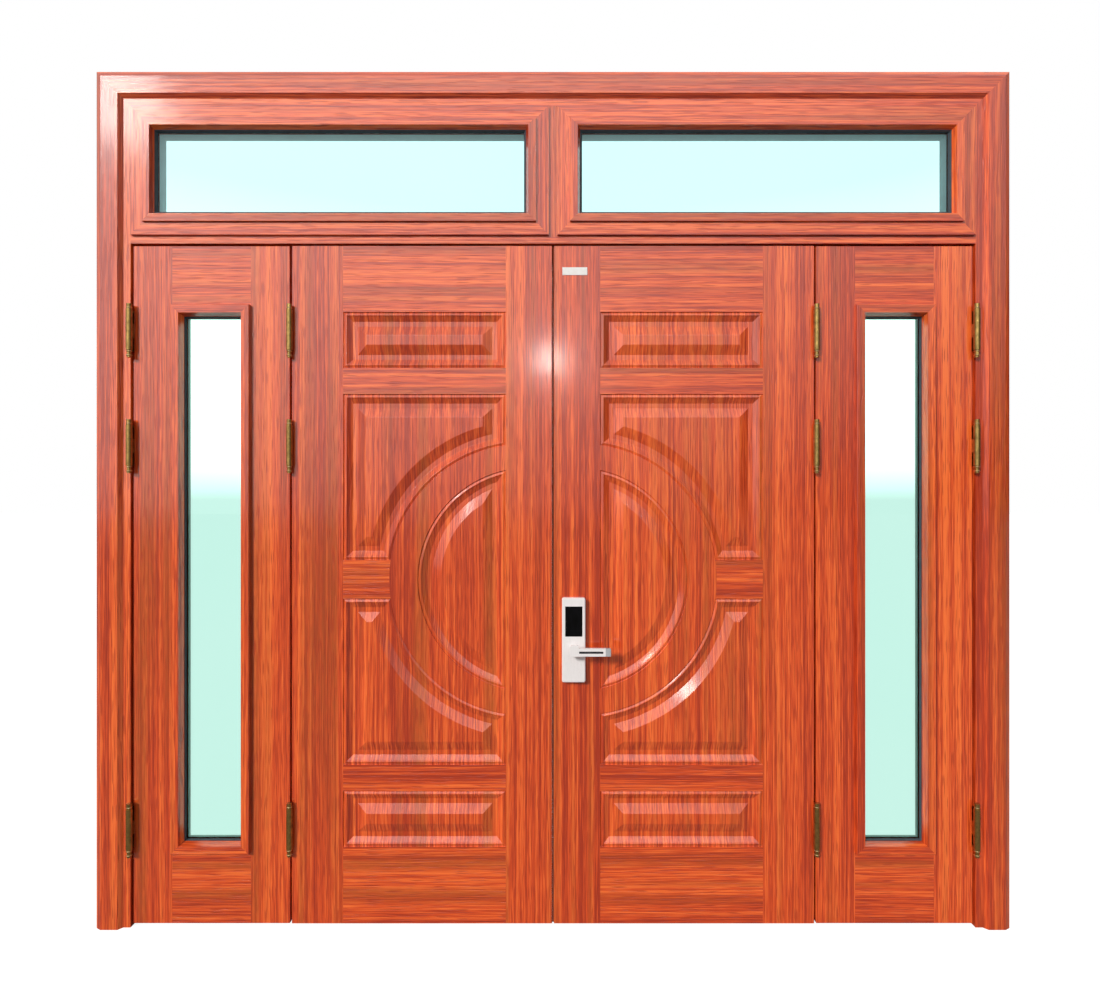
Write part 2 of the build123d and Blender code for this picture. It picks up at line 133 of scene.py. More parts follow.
class StageSettings(bpy.types.PropertyGroup):
    """Floor, lights and camera."""

    key_power: FloatProperty(
        name="Key Power", description="Power of the high left lamp", default=2.7, min=0.0
    )
    key_softness: FloatProperty(
        name="Key Softness",
        description="Apparent size of the high left lamp",
        default=math.radians(12),
        subtype="ANGLE",
    )
    room_light: FloatProperty(
        name="Room Light", description="Strength of the light all round", default=0.5, min=0.0
    )
    eye_height: length_setting("Eye Height", "Height of the camera above the floor", 1.36)
    eye_distance: length_setting("Eye Distance", "Camera to the closed leaves", 2.05)


# Node helpers

# Columns of a laid-out node tree, and the width and height of its cells
NODE_GRID = (10, 220, 320)


def named_socket(sockets, key):
    """Socket by its number, its identifier or its title."""
    if isinstance(key, int):
        return sockets[key]
    known = {each.identifier: each for each in sockets}
    return known[key] if key in known else sockets[key]


def add_node(tree, kind, inputs=None, **settings):
    """Add a node with its own settings. inputs holds a socket to link from, or a value, for
    the number or name of each input."""
    columns, width, height = NODE_GRID
    row, column = divmod(len(tree.nodes), columns)
    node = tree.nodes.new(kind)
    node.location = (width * column, -height * row)
    for name, value in settings.items():
        setattr(node, name, value)
    for key, value in (inputs or {}).items():
        end = named_socket(node.inputs, key)
        if isinstance(value, bpy.types.NodeSocket):
            tree.links.new(value, end)
        else:
            end.default_value = value
    return node


def maths(tree, operation, *values):
    """Math node on sockets or numbers; returns its output socket."""
    return add_node(tree, "ShaderNodeMath", dict(enumerate(values)), operation=operation).outputs[0]


def stretched(tree, vector, scale):
    """Coordinates scaled by three numbers."""
    inputs = {0: vector, 1: scale}
    return add_node(tree, "ShaderNodeVectorMath", inputs, operation="MULTIPLY").outputs[0]


def apart(tree, vector):
    """The three parts of a vector."""
    return tuple(add_node(tree, "ShaderNodeSeparateXYZ", {0: vector}).outputs)


def together(tree, *parts):
    """Vector from its three parts."""
    return add_node(tree, "ShaderNodeCombineXYZ", dict(enumerate(parts))).outputs[0]


def object_place(tree):
    """Object coordinates."""
    return add_node(tree, "ShaderNodeTexCoord").outputs["Object"]


def noise(tree, vector, scale, detail=2.0, roughness=0.5):
    """Noise over coordinates stretched by three numbers."""
    inputs = {"Vector": stretched(tree, vector, scale), "Scale": 1.0}
    inputs.update({"Detail": detail, "Roughness": roughness})
    return add_node(tree, "ShaderNodeTexNoise", inputs).outputs["Fac"]


def spanned(tree, value, low, high, first=0.0, last=1.0):
    """Value carried over, and clamped, from one span to another."""
    inputs = {"Value": value, "From Min": low, "From Max": high, "To Min": first, "To Max": last}
    return add_node(tree, "ShaderNodeMapRange", inputs).outputs[0]


def ramp(tree, value, first, last, *inner):
    """Colour ramp from its first and last (position, colour) and those between them."""
    node = add_node(tree, "ShaderNodeValToRGB", {0: value})
    elements = node.color_ramp.elements
    for element, (position, colour) in zip(elements, (first, last)):
        element.position = position
        element.color = (*colour, 1)
    for position, colour in inner:
        elements.new(position).color = (*colour, 1)
    return node.outputs[0]


def mixed(tree, kind, share, first, second):
    """Mix of two colours (kind Color) or two vectors (kind Vector)."""
    inputs = {"Factor_Float": share, f"A_{kind}": first, f"B_{kind}": second}
    data_type = {"Color": "RGBA", "Vector": "VECTOR"}[kind]
    node = add_node(tree, "ShaderNodeMix", inputs, data_type=data_type)
    return named_socket(node.outputs, f"Result_{kind}")


def bumped(tree, height, strength, distance):
    """Normal from a height."""
    inputs = {"Strength": strength, "Distance": distance, "Height": height}
    return add_node(tree, "ShaderNodeBump", inputs).outputs[0]


def new_material(name):
    """Empty node material; returns it and its tree."""
    made = bpy.data.materials.new(name)
    made.use_nodes = True
    made.node_tree.nodes.clear()
    return made, made.node_tree


def coated(tree, inputs):
    """Close a material's tree with its shader."""
    shader = add_node(tree, "ShaderNodeBsdfPrincipled", inputs)
    add_node(tree, "ShaderNodeOutputMaterial", {"Surface": shader.outputs[0]})


def clouded(name, scale, first, second, wear=None, bump=None, detail=3.0, **own):
    """Material that wavers between two tones. wear gives the roughness at either end of the
    noise and bump its strength and depth; own holds further inputs of the shader, with _ for
    a space in their titles."""
    made, tree = new_material(name)
    cloud = noise(tree, object_place(tree), scale, detail, 0.6)
    inputs = {"Base Color": ramp(tree, cloud, (0.3, first), (0.7, second))}
    if wear:
        inputs["Roughness"] = spanned(tree, cloud, 0.3, 0.7, *wear)
    if bump:
        inputs["Normal"] = bumped(tree, cloud, *bump)
    inputs.update({title.replace("_", " "): value for title, value in own.items()})
    coated(tree, inputs)
    return made


def dress(material, *node_names):
    """Give CAD nodes a finished material in all their slots."""
    for name in node_names:
        mesh = NODES[name].data
        if not mesh.materials:
            mesh.materials.append(material)
        for i in range(len(mesh.materials)):
            mesh.materials[i] = material


def both(name):
    """A node's name on either side of the door."""
    return [f"{name}_{side}" for side in SIDES]


# Wood-grain finish

# Where lying grain starts in the pattern, so that it doesn't repeat the upright grain
LYING_START = 7.3


def grain_group(settings):
    """Node group: long grain along Z, its colour and a height for its pores."""
    group = bpy.data.node_groups.new("printed_grain", "ShaderNodeTree")
    group.interface.new_socket("Place", in_out="INPUT", socket_type="NodeSocketVector")
    group.interface.new_socket("Colour", in_out="OUTPUT", socket_type="NodeSocketColor")
    group.interface.new_socket("Height", in_out="OUTPUT", socket_type="NodeSocketFloat")
    place = add_node(group, "NodeGroupInput").outputs[0]

    # Slow wander of the grain across its length
    wander = maths(group, "SUBTRACT", noise(group, place, (3.0, 3.0, 0.9), 1.0), 0.5)
    x, y, z = apart(group, place)
    bent = together(group, maths(group, "ADD", x, maths(group, "MULTIPLY", wander, 0.014)), y, z)

    planks = noise(group, bent, (7.0, 7.0, 0.12), 0.0)
    bands = noise(group, bent, (38.0, 38.0, 0.15), 1.0, 0.6)
    streaks = noise(group, bent, (130.0, 130.0, 0.6), 2.0, 0.7)
    flecks = noise(group, bent, (210.0, 210.0, 6.0), 2.0, 0.6)
    pores = noise(group, bent, (430.0, 430.0, 9.0), 1.0, 0.6)
    tone = 0.5
    for layer, weight in ((planks, 0.7), (bands, 1.5), (streaks, 1.8), (flecks, 1.2), (pores, 0.9)):
        part = maths(group, "MULTIPLY", maths(group, "SUBTRACT", layer, 0.5), weight)
        tone = maths(group, "ADD", tone, part)
    ends = (0.12, settings.dark_tone), (0.92, settings.light_tone)
    ground = ramp(group, tone, *ends, (0.5, settings.middle_tone))

    # Browner patches with short wavy flecks
    patches = noise(group, bent, (19.0, 19.0, 0.45), 1.0)
    ripples = maths(group, "ADD", noise(group, bent, (90.0, 90.0, 22.0), 1.0), 0.25)
    share = maths(group, "MULTIPLY", spanned(group, patches, 0.5, 0.68, 0.0, 0.75), ripples)
    browned = mixed(group, "Color", share, ground, (*settings.olive_tone, 1))

    # Short dark dashes of open pores
    depth = spanned(group, noise(group, bent, (260.0, 260.0, 14.0), 0.0), 0.60, 0.72)
    share = maths(group, "MULTIPLY", depth, 0.55)
    colour = mixed(group, "Color", share, browned, (*settings.dark_tone, 1))
    height = maths(group, "SUBTRACT", maths(group, "MULTIPLY", streaks, 0.5), depth)
    add_node(group, "NodeGroupOutput", {0: colour, 1: height})
    return group


def between(tree, value, low, high):
    """1 where the value lies between two numbers, else 0."""
    above = maths(tree, "GREATER_THAN", value, low)
    below = maths(tree, "LESS_THAN", value, high)
    return maths(tree, "MULTIPLY", above, below)


def wood(name, settings, group, lying=None, into=0.35):
    """Satin wood-grain material. lying gives 1 where the grain runs along X, from a tree and
    its x and z sockets; None keeps it upright, and True lays it all along X. into says how
    fast the grain changes with depth, so that it runs on over sloped mouldings."""
    made, tree = new_material(name)
    place = stretched(tree, object_place(tree), (1.0, into, 1.0))
    if lying is not None:
        x, y, z = apart(tree, place)
        turned = together(tree, maths(tree, "ADD", z, LYING_START), y, x)
        if lying is True:
            place = turned
        else:
            place = mixed(tree, "Vector", lying(tree, x, z), place, turned)
    grain = add_node(tree, "ShaderNodeGroup", {0: place}, node_tree=group).outputs
    inputs = {
        "Base Color": grain[0],
        "Normal": bumped(tree, grain[1], 0.9, 0.0006),
        "Roughness": settings.wood_roughness,
        "IOR": 1.6,
        "Coat Weight": 1.0,
        "Coat IOR": 1.5,
        "Coat Roughness": settings.coat_roughness,
    }
    coated(tree, inputs)
    return made


def mitred(low, high):
    """Mask for a mitred frame over a box: 1 on its head and foot members."""

    def mask(tree, x, z):
        insets = []
        for value, one, two in ((x, low.x, high.x), (z, low.z, high.z)):
            off = maths(tree, "ABSOLUTE", maths(tree, "SUBTRACT", value, (one + two) / 2))
            insets.append(maths(tree, "SUBTRACT", (two - one) / 2, off))
        return maths(tree, "GREATER_THAN", *insets)

    return mask


def glazed_leaf(low, high):
    """Mask for a glazed leaf: 1 on its rails, above and below the pane."""

    def mask(tree, x, z):
        across = between(tree, x, low.x, high.x)
        beside = between(tree, z, low.z, high.z)
        return maths(tree, "MULTIPLY", across, maths(tree, "SUBTRACT", 1.0, beside))

    return mask


# Layout of a main leaf in metres, measured out from the door's centre line and up from the floor
COLUMN = (0.1506, 0.6693)
SMALL_PANELS = ((0.253, 0.432), (1.781, 1.960))
LARGE_PANELS = ((0.515, 1.045), (1.168, 1.698))
RING_Z = 1.1065
RING_X = 0.090
RING_RADIUS = 0.432
DISC_X = 0.075
DISC_RADIUS = 0.3572
HINGE_HEIGHTS = (0.315, 1.530, 1.896)
HINGE_ZONE = (-0.0612, 0.0672)
HINGE_PLATE_BACK = 0.0382
HINGE_PLATE_DEPTH = 0.0025
LEAF_ARRIS = 0.0012
MEETING_SLOPE = math.tan(math.radians(3))
EDGE_PLATE_Y = (0.0123, 0.0377)
EDGE_PLATE_Z = (0.7998, 1.0402)
EDGE_PLATE_THICK = 0.0032
EDGE_PLATE_ARRIS = 0.0004
LATCH_OPENING = (0.0170, 0.0330, 0.877, 0.903)
BOLT_OPENING = (0.0185, 0.0315, 0.938, 0.972)
LATCH_REACH = 0.0034
BOLT_REACH = 0.0006

# Bore for the lever's spindle: distance from the centre line, height, radius and sides
SPINDLE_BORE = (0.0655, 0.890, 0.012, 24)

# Pressed moulding: distance in from a panel's outline and depth below the leaf's face, in mm
MOULDING = (
    (0.0, 0.0),
    (0.3, 2.2),
    (0.8, 3.6),
    (1.9, 3.7),
    (2.8, 2.8),
    (5.6, 1.7),
    (8.2, 0.7),
    (9.8, 0.3),
    (11.2, 0.6),
    (12.6, 1.7),
    (13.4, 2.8),
    (27.6, 11.5),
    (29.0, 12.0),
    (44.0, 12.0),
    (73.0, 0.6),
    (75.0, 0.3),
)
CRISP_STEPS = (0, 1, 3, 4, 10, 12, 13, 14, 15)


def panelled_leaf(tree, x, z):
    """Mask for the pressed leaves: 1 on the rails between their panels."""
    off = maths(tree, "ABSOLUTE", maths(tree, "SUBTRACT", x, MIDDLE))
    column = between(tree, off, *COLUMN)
    edges = sorted(SMALL_PANELS + LARGE_PANELS)
    rails = maths(tree, "LESS_THAN", z, edges[0][0])
    rails = maths(tree, "ADD", rails, maths(tree, "GREATER_THAN", z, edges[-1][1]))
    for low, high in ((edges[0][1], edges[1][0]), (edges[2][1], edges[3][0])):
        rails = maths(tree, "ADD", rails, between(tree, z, low, high))
    middle = between(tree, z, edges[1][1], edges[2][0])
    parts = [maths(tree, "SUBTRACT", off, RING_X), maths(tree, "SUBTRACT", z, RING_Z)]
    reach = maths(tree, "ADD", *(maths(tree, "POWER", part, 2.0) for part in parts))
    outside = maths(tree, "GREATER_THAN", reach, RING_RADIUS**2)
    rails = maths(tree, "ADD", rails, maths(tree, "MULTIPLY", middle, outside))
    return maths(tree, "MULTIPLY", column, rails)


class DOOR_OT_wood(bpy.types.Operator):
    """Give the frame, leaves and beads their wood-grain finish"""

    bl_idname = "steel_door.wood"
    bl_label = "Wood Finish"

    def execute(self, context):
        settings = context.scene.door_finish
        group = grain_group(settings)

        def grained(name, nodes, *rule):
            dress(wood(name, settings, group, *rule), *nodes)

        grained("grain_upright", (*both("jamb"), "transom_mullion"))
        grained("grain_lying", ("head", "transom_bar", "transom_stop"), True)
        for side in SIDES:
            unit = mitred(*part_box(f"transom_frame_{side}"))
            nodes = f"transom_frame_{side}", f"transom_bead_{side}"
            grained(f"grain_unit_{side}", nodes, unit)
            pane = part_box(f"side_bead_front_{side}")
            grained(f"grain_side_leaf_{side}", (f"side_leaf_{side}",), glazed_leaf(*pane))
            nodes = f"side_bead_front_{side}", f"side_bead_back_{side}"
            grained(f"grain_bead_{side}", nodes, mitred(*pane))
        grained("grain_main_leaf", both("main_leaf"), panelled_leaf, 0.15)
        return {"FINISHED"}


class DOOR_OT_glass(bpy.types.Operator):
    """Glaze the side leaves and the units above"""

    bl_idname = "steel_door.glass"
    bl_label = "Glass"

    def execute(self, context):
        tints = {"transom_glass": (0.58, 0.95, 0.95), "side_glass": (0.60, 0.97, 0.85)}
        clear = {"Transmission_Weight": 1.0, "Roughness": 0.0, "IOR": 1.45}
        for name, tint in tints.items():
            paler = tuple(c + (1 - c) * 0.05 for c in tint)
            ripple = (0.05, 0.0005)
            made = clouded(name, (1.3, 1.3, 1.3), tint, paler, bump=ripple, detail=1.0, **clear)
            dress(made, *both(name))
        return {"FINISHED"}


class DOOR_OT_ironwork(bpy.types.Operator):
    """Finish the hinges, edge plates, seals and badge"""

    bl_idname = "steel_door.ironwork"
    bl_label = "Ironwork"

    def execute(self, context):
        bright = context.scene.door_finish.brass_tone
        dulled = tuple(c * 0.5 for c in bright)
        scale, wear, bump = (90.0, 90.0, 60.0), (0.46, 0.28), (0.3, 0.0003)
        brass = clouded("hinge_brass", scale, dulled, bright, wear, bump, 4.0, Metallic=1.0)
        for line in ("jamb", "seam"):
            for half in ("fixed", "leaf"):
                dress(brass, *both(f"{line}_hinge_{half}"))
        tones = (0.022, 0.021, 0.02), (0.05, 0.048, 0.045)
        rubber = clouded("seal_rubber", (160.0, 160.0, 25.0), *tones, (0.6, 0.85), (0.3, 0.0003))
        dress(rubber, "frame_seal", "meeting_seal")
        tones = (0.52, 0.52, 0.53), (0.70, 0.70, 0.71)
        scale, wear, bump = (1500.0, 1500.0, 40.0), (0.28, 0.45), (0.2, 0.0001)
        steel = clouded("edge_plate_steel", scale, *tones, wear, bump, Metallic=1.0)
        dress(steel, "strike_plate", "forend_plate")
        tones = (0.82, 0.81, 0.78), (0.90, 0.90, 0.88)
        dress(clouded("badge_white", (70.0, 70.0, 70.0), *tones, (0.32, 0.5)), "badge_plate")
        return {"FINISHED"}


class DOOR_OT_lock(bpy.types.Operator):
    """Finish the lock's plates, screen and levers"""

    bl_idname = "steel_door.lock"
    bl_label = "Lock"

    def execute(self, context):
        bright = context.scene.door_finish.lock_tone
        shaded = tuple(c * 0.93 for c in bright)
        scale, wear, bump = (1200.0, 1200.0, 30.0), (0.26, 0.38), (0.12, 0.00008)
        silver = clouded("lock_silver", scale, shaded, bright, wear, bump, Metallic=0.08)
        dress(silver, "lock_plate_outer", "lock_plate_inner", "lever_outer", "lever_inner")
        tones = (0.001, 0.001, 0.001), (0.003, 0.003, 0.004)
        scale, wear = (60.0, 60.0, 25.0), (0.10, 0.22)
        dress(clouded("screen_black", scale, *tones, wear, Specular_IOR_Level=0.2), "lock_screen")
        grit = (900.0, 900.0, 900.0)
        tones = (0.010, 0.010, 0.012), (0.035, 0.035, 0.04)
        dress(clouded("inlay_black", grit, *tones, (0.35, 0.55)), "lever_inlay")
        tones = (0.38, 0.39, 0.41), (0.48, 0.49, 0.51)
        dress(clouded("cap_grey", grit, *tones, (0.3, 0.5)), "lever_end_cap")
        return {"FINISHED"}


# Mesh helpers


def verts(bm, places):
    """New vertices at some places."""
    return [bm.verts.new(place) for place in places]


def following(loop):
    """A closed loop moved on by one."""
    return [*loop[1:], loop[0]]


def band(bm, one, two):
    """Faces between two like closed loops of vertices."""
    rows = zip(one, following(one), following(two), two)
    return [bm.faces.new(corners) for corners in rows]


def bar(bm, one, two):
    """Closed bar between two like loops."""
    band(bm, one, two)
    bm.faces.new(one)
    bm.faces.new(two)


def crease(bm, loop):
    """Make the edges of a closed loop crisp."""
    for pair in zip(loop, following(loop)):
        bm.edges.get(pair).smooth = False


def fill(bm, loops, across):
    """Triangles over a loop of vertices, with the other loops as holes; across gives the two
    axes that they lie along."""
    flat = [v for loop in loops for v in loop]
    places = [[Vector((v.co[across[0]], v.co[across[1]], 0)) for v in loop] for loop in loops]
    return [bm.faces.new([flat[i] for i in three]) for three in tessellate_polygon(places)]


def linked(name, data):
    """New object in the scene."""
    made = bpy.data.objects.new(name, data)
    bpy.context.scene.collection.objects.link(made)
    return made


def keep_piece(name, mesh, body, slot, *nodes):
    """Make a piece of a mesh: its body and the CAD nodes whose place it takes; slot is not used."""
    piece = linked(name, mesh)
    if nodes:
        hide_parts(*nodes)
    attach(piece, body)
    return piece


def piece_from(bm, name, material, body, slot, *nodes):
    """Turn a bmesh into a piece in a material."""
    bmesh.ops.recalc_face_normals(bm, faces=bm.faces)
    mesh = bpy.data.meshes.new(name)
    bm.to_mesh(mesh)
    bm.free()
    mesh.materials.append(material)
    return keep_piece(name, mesh, body, slot, *nodes)


# Pressed main leaves


def rectangle_outline(x, z):
    """Function that gives a rectangle moved in by a distance, and its corners' numbers."""

    def outline(inset):
        left, right = x[0] + inset, x[1] - inset
        foot, top = z[0] + inset, z[1] - inset
        return [(left, foot), (right, foot), (right, top), (left, top)]

    return outline, (0, 1, 2, 3)


def arc(centre_x, radius, first, last, steps):
    """Points of an arc whose centre lies at the ring's height."""
    angles = [first + (last - first) * i / steps for i in range(steps + 1)]
    return [(radius * math.cos(a) + centre_x, radius * math.sin(a) + RING_Z) for a in angles]


def ring_cut_outline(x, z, upper, steps):
    """The same for a tall panel whose inner corner the outer ring cuts away."""

    def outline(inset):
        left, right = x[0] + inset, x[1] - inset
        foot, top = z[0] + inset, z[1] - inset
        radius = RING_RADIUS + inset
        near = foot if upper else top
        from_z = near - RING_Z
        first = math.atan2(from_z, -math.sqrt(radius**2 - from_z**2))
        from_x = right + RING_X
        rise = math.sqrt(radius**2 - from_x**2) * (1 if upper else -1)
        last = math.atan2(rise, from_x)
        if not upper:
            first, last = first % (2 * math.pi), last % (2 * math.pi)
        curve = arc(-RING_X, radius, first, last, steps)
        if upper:
            return [(left, foot), *curve, (right, top), (left, top)]
        return [*reversed([(left, top), *curve, (right, foot), (left, foot)])]

    corners = (0, 1, steps + 1, steps + 2, steps + 3)
    if not upper:
        corners = tuple(steps + 3 - i for i in corners)
    return outline, corners


def half_disc_outline(right, steps):
    """The same for the part of the inner disc that lies on the panel column."""

    def outline(inset):
        radius = DISC_RADIUS - inset
        half = math.acos((right - inset + DISC_X) / radius)
        return arc(-DISC_X, radius, half, 2 * math.pi - half, steps)

    return outline, (0, steps)


def meeting_edge(y):
    """Place of the left leaf's bevelled meeting edge at a depth, from the centre line."""
    return -0.003 - y * MEETING_SLOPE


def fill_face(bm, loops, flip):
    """Fill one face of a leaf, turned to the front, or to the back where flip is set."""
    for face in fill(bm, loops, (0, 2)):
        face.normal_update()
        if (face.normal.y > 0) != flip:
            face.normal_flip()


def press_panel(bm, outline, corners, face_y, inward, flip):
    """Press one panel into a face; returns the loop of vertices on its outline."""
    loops = []
    for distance, depth in MOULDING:
        y = face_y + inward * depth / 1000
        loops.append(verts(bm, [(x, y, z) for x, z in outline(distance / 1000)]))
    for outer, inner in zip(loops, loops[1:]):
        for face in band(bm, inner, outer) if flip else band(bm, outer, inner):
            face.smooth = True
        for i in corners:
            bm.edges.get((outer[i], inner[i])).smooth = False
    fill_face(bm, [loops[-1]], flip)
    for step in CRISP_STEPS:
        crease(bm, loops[step])
    return loops[0]


def leaf_shell(bm, outer, foot, top, thick, steps, bored):
    """Whole left main leaf about the centre line, pressed on both faces, with the pockets
    for its hinge plates and its edge plate, and bored for the spindle where asked."""
    column = (-COLUMN[1], -COLUMN[0])
    panels = [rectangle_outline(column, z) for z in SMALL_PANELS]
    panels.append(ring_cut_outline(column, LARGE_PANELS[0], False, steps))
    panels.append(ring_cut_outline(column, LARGE_PANELS[1], True, steps))
    panels.append(half_disc_outline(column[1], 2 * steps))
    zones = [(z + HINGE_ZONE[0], z + HINGE_ZONE[1]) for z in HINGE_HEIGHTS]
    arris = LEAF_ARRIS
    floor = outer + HINGE_PLATE_DEPTH
    bore_x, bore_z, radius, sides = SPINDLE_BORE
    turns = [2 * math.pi * i / sides for i in range(sides)]

    mouths = []
    for face_y, inward, flip in ((0.0, 1, False), (thick, -1, True)):
        holes = [press_panel(bm, *panel, face_y, inward, flip) for panel in panels]
        if bored:
            around = [(radius * math.cos(t) - bore_x, radius * math.sin(t) + bore_z) for t in turns]
            mouths.append(verts(bm, [(x, face_y, z) for x, z in around]))
            holes.append(mouths[-1])
        edge = meeting_edge(face_y) - arris
        places = [(outer + arris, foot), (edge, foot), (edge, top), (outer + arris, top)]
        if not flip:
            for low, high in reversed(zones):
                places += [(outer + arris, high), (floor, high), (floor, low), (outer + arris, low)]
        fill_face(bm, [verts(bm, [(x, face_y, z) for x, z in places]), *holes], flip)
    if bored:
        for face in band(bm, *mouths):
            face.smooth = True
        for mouth in mouths:
            crease(bm, mouth)

    # The leaf's outline seen from above, from the front hinge corner back along either edge
    def on_edge(y, deep=0.0):
        return (meeting_edge(y) - deep, y)

    behind, plate_back = thick - arris, HINGE_PLATE_BACK
    hinge_edge = [(outer + arris, 0), (outer, arris), (outer, plate_back), (outer, behind)]
    hinge_edge.append((outer + arris, thick))
    pocket = [(floor, 0), (floor, plate_back)]
    lock_edge = [on_edge(0, arris), on_edge(arris), on_edge(behind), on_edge(thick, arris)]

    def face(*places):
        bm.faces.new(verts(bm, places))

    def level(outline, z):
        face(*((x, y, z) for x, y in outline))

    def upright(one, two, low, high):
        face((*one, low), (*one, high), (*two, high), (*two, low))

    # Hinge edge, with an open pocket at each hinge
    levels = [foot, *(z for zone in zones for z in zone), top]
    for low, high in zip(levels[::2], levels[1::2]):
        upright(*hinge_edge[0:2], low, high)
        upright(*hinge_edge[1:3], low, high)
    for low, high in zones:
        upright(*pocket, low, high)
        upright(pocket[1], hinge_edge[2], low, high)
        for z in (low, high):
            level([*hinge_edge[:3], *reversed(pocket)], z)
    for low, high in zip(levels, levels[1:]):
        upright(*hinge_edge[2:4], low, high)
    upright(*hinge_edge[3:5], foot, top)

    # Bevelled meeting edge, with a pocket for the edge plate
    (y0, y1), (z0, z1) = EDGE_PLATE_Y, EDGE_PLATE_Z
    upright(*lock_edge[0:2], foot, top)
    upright(lock_edge[3], lock_edge[2], foot, top)
    upright(*lock_edge[1:3], foot, z0)
    upright(*lock_edge[1:3], z1, top)
    upright(lock_edge[1], on_edge(y0), z0, z1)
    upright(on_edge(y1), lock_edge[2], z0, z1)
    corners = [(y0, z0), (y1, z0), (y1, z1), (y0, z1)]
    mouth, bottom = (
        verts(bm, [(*on_edge(y, deep), z) for y, z in corners]) for deep in (0.0, EDGE_PLATE_THICK)
    )
    band(bm, mouth, bottom)
    bm.faces.new(bottom)

    for z in (foot, top):
        level([hinge_edge[0], *lock_edge, *reversed(hinge_edge[1:])], z)


class DOOR_OT_main_leaves(bpy.types.Operator):
    """Press the two main leaves with their mouldings, ring and half discs"""

    bl_idname = "steel_door.main_leaves"
    bl_label = "Main Leaves"

    def execute(self, context):
        steps = context.scene.door_pressing.arc_steps
        low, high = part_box("main_leaf_left")
        for side, sign in (("left", 1), ("right", -1)):
            bm = bmesh.new()
            thick = high.y - low.y
            leaf_shell(bm, low.x - MIDDLE, low.z, high.z, thick, steps, side == "right")
            for vertex in bm.verts:
                vertex.co.x = MIDDLE + sign * vertex.co.x
            bmesh.ops.remove_doubles(bm, verts=bm.verts, dist=1e-6)
            wood_grain = bpy.data.materials["grain_main_leaf"]
            leaf = f"main_leaf_{side}"
            piece_from(bm, f"pressed_leaf_{side}", wood_grain, leaf, "leaf_wood_grain", leaf)
        return {"FINISHED"}


# Edge plates of the lock

# Play of the edge plate round its rim and at its back, and of a bolt in its opening
PLATE_PLAY = 0.0002
PLATE_BACK_PLAY = 0.0001
BOLT_PLAY = 0.0004

# Distances from the pocket's bottom to the end of a bolt, and to both faces of the dark
# sheet that paints the shade of the hollows behind the strike
BOLT_TAIL = 0.0003
SHADE_SHEET_DEPTHS = (0.0005, 0.0002)

# Width of the slope on the back side of the latch and of the bolt, and how far below the
# plate's surface it ends
LATCH_SLOPE = 0.009
BOLT_SLOPE = 0.0008
SLOPE_FOOT = 0.0004


def edge_place(side, y, z, deep=0.0):
    """Place on a main leaf's bevelled meeting edge, a distance in from its surface."""
    off = meeting_edge(y) - deep
    return (MIDDLE + (off if side == "left" else -off), y, z)


def edge_loop(bm, side, bounds, deep, inset=0.0):
    """Rectangle on a meeting edge, from its (front, back, foot, top)."""
    y0, y1, z0, z1 = bounds[0] + inset, bounds[1] - inset, bounds[2] + inset, bounds[3] - inset
    corners = ((y0, z0), (y1, z0), (y1, z1), (y0, z1))
    return verts(bm, [edge_place(side, y, z, deep) for y, z in corners])


def slotted_plate(bm, side, openings):
    """Plate let into a meeting edge, with an arris and with openings through it."""
    plate = (*EDGE_PLATE_Y, *EDGE_PLATE_Z)
    arris, thick = EDGE_PLATE_ARRIS, EDGE_PLATE_THICK - PLATE_BACK_PLAY
    rim = edge_loop(bm, side, plate, 0.0, PLATE_PLAY + arris)
    flank = edge_loop(bm, side, plate, arris, PLATE_PLAY)
    band(bm, rim, flank)
    band(bm, flank, edge_loop(bm, side, plate, thick, PLATE_PLAY))
    holes = [edge_loop(bm, side, opening, 0.0) for opening in openings]
    for opening, hole in zip(openings, holes):
        band(bm, hole, edge_loop(bm, side, opening, thick))
    fill(bm, (rim, *holes), (1, 2))


def sprung_bolt(bm, side, opening, reach, slope):
    """Bolt in an opening of the plate, standing proud; its back side slopes off."""
    y0, y1, z0, z1 = opening
    y0, y1 = y0 + BOLT_PLAY, y1 - BOLT_PLAY
    deep = EDGE_PLATE_THICK - BOLT_TAIL
    section = [(y0, deep), (y0, -reach), (y1 - slope, -reach), (y1, SLOPE_FOOT), (y1, deep)]
    ends = []
    for z in (z0 + BOLT_PLAY, z1 - BOLT_PLAY):
        ends.append(verts(bm, [edge_place(side, y, z, out) for y, out in section]))
    bar(bm, *ends)


